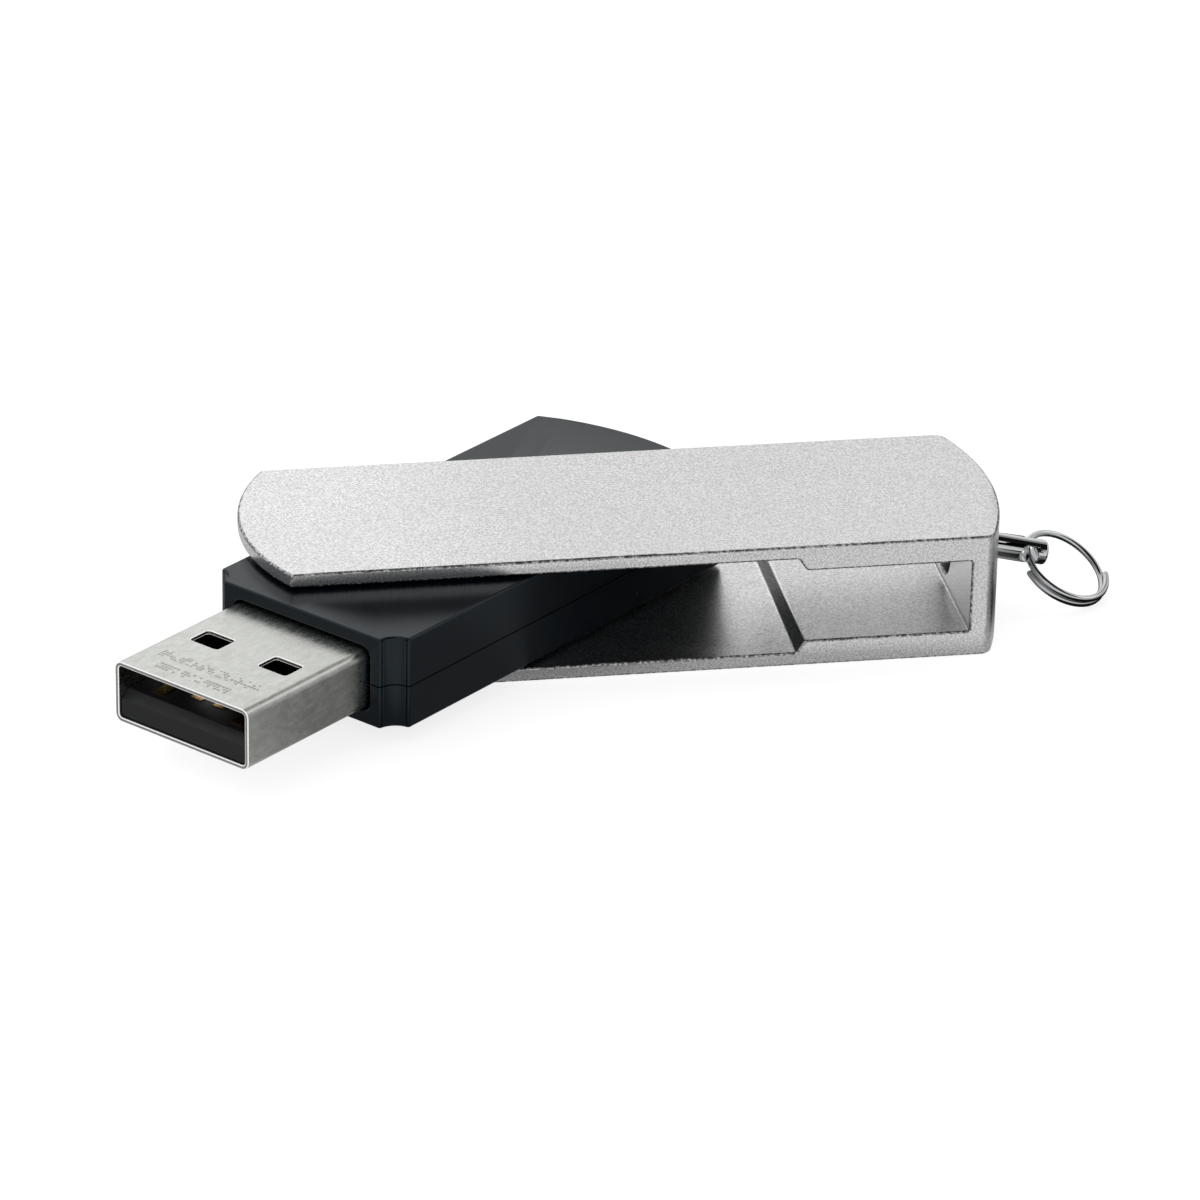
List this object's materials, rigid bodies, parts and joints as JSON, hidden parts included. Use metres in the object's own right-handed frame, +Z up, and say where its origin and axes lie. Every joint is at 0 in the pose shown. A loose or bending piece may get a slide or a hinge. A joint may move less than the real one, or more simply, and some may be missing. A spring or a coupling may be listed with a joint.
{
  "type": "swivel usb flash drive",
  "caption": "Swivel USB flash drive: a black plastic body with a metal USB-A plug turns between the plates of an aluminium cover that holds a post and a split ring.",
  "frame": {"origin": "where the swivel axis meets the cover's lower face, which rests on the table", "axes": "+X towards the closed end of the cover and the ring, +Y across the cover, +Z up along the swivel axis"},
  "size_m": [0.0732, 0.0431, 0.0092],
  "materials": {
    "blasted_aluminium": "bead blasted, clear anodised",
    "black_plastic": "fine satin texture",
    "plated_steel": "satin nickel plate",
    "insulator_plastic": "smooth moulded",
    "gold_contact": "gold flash",
    "board_laminate": "green solder mask",
    "solder": "bright tin",
    "chip_resin": "moulded epoxy",
    "capacitor_body": "fired ceramic",
    "polished_chrome": "bright nickel or chrome plate"
  },
  "bodies": {
    "cover": {"cover": "blasted_aluminium"},
    "drive": {"upper_shell": "black_plastic", "lower_shell": "black_plastic", "plug_shell": "plated_steel", "plug_insulator": "insulator_plastic", "contact_power": "gold_contact", "contact_data_minus": "gold_contact", "contact_data_plus": "gold_contact", "contact_ground": "gold_contact", "circuit_board": "board_laminate", "board_solder": "solder", "flash_chip": "chip_resin", "flash_chip_leads": "solder", "controller_chip": "chip_resin", "controller_leads": "solder", "crystal": "plated_steel", "voltage_regulator": "chip_resin", "regulator_leads": "solder", "capacitors": "capacitor_body", "resistors": "chip_resin"},
    "post": {"ring_post": "polished_chrome"},
    "ring": {"split_ring": "polished_chrome"}
  },
  "joints": [
    {"name": "drive_swivel", "type": "hinge", "parent": "cover", "child": "drive", "pos_m": [0, 0, 0.0046], "axis": [0, 0, 1], "continuous": true},
    {"name": "post_spin", "type": "hinge", "parent": "cover", "child": "post", "pos_m": [0.03684, 0, 0.0046], "axis": [0.9744, 0, -0.225], "continuous": true},
    {"name": "ring_swing", "type": "hinge", "parent": "post", "child": "ring", "pos_m": [0.04052, 0, 0.00375], "axis": [0.0468, 0.9781, 0.2026], "range_deg": [-112, 88]}
  ]
}
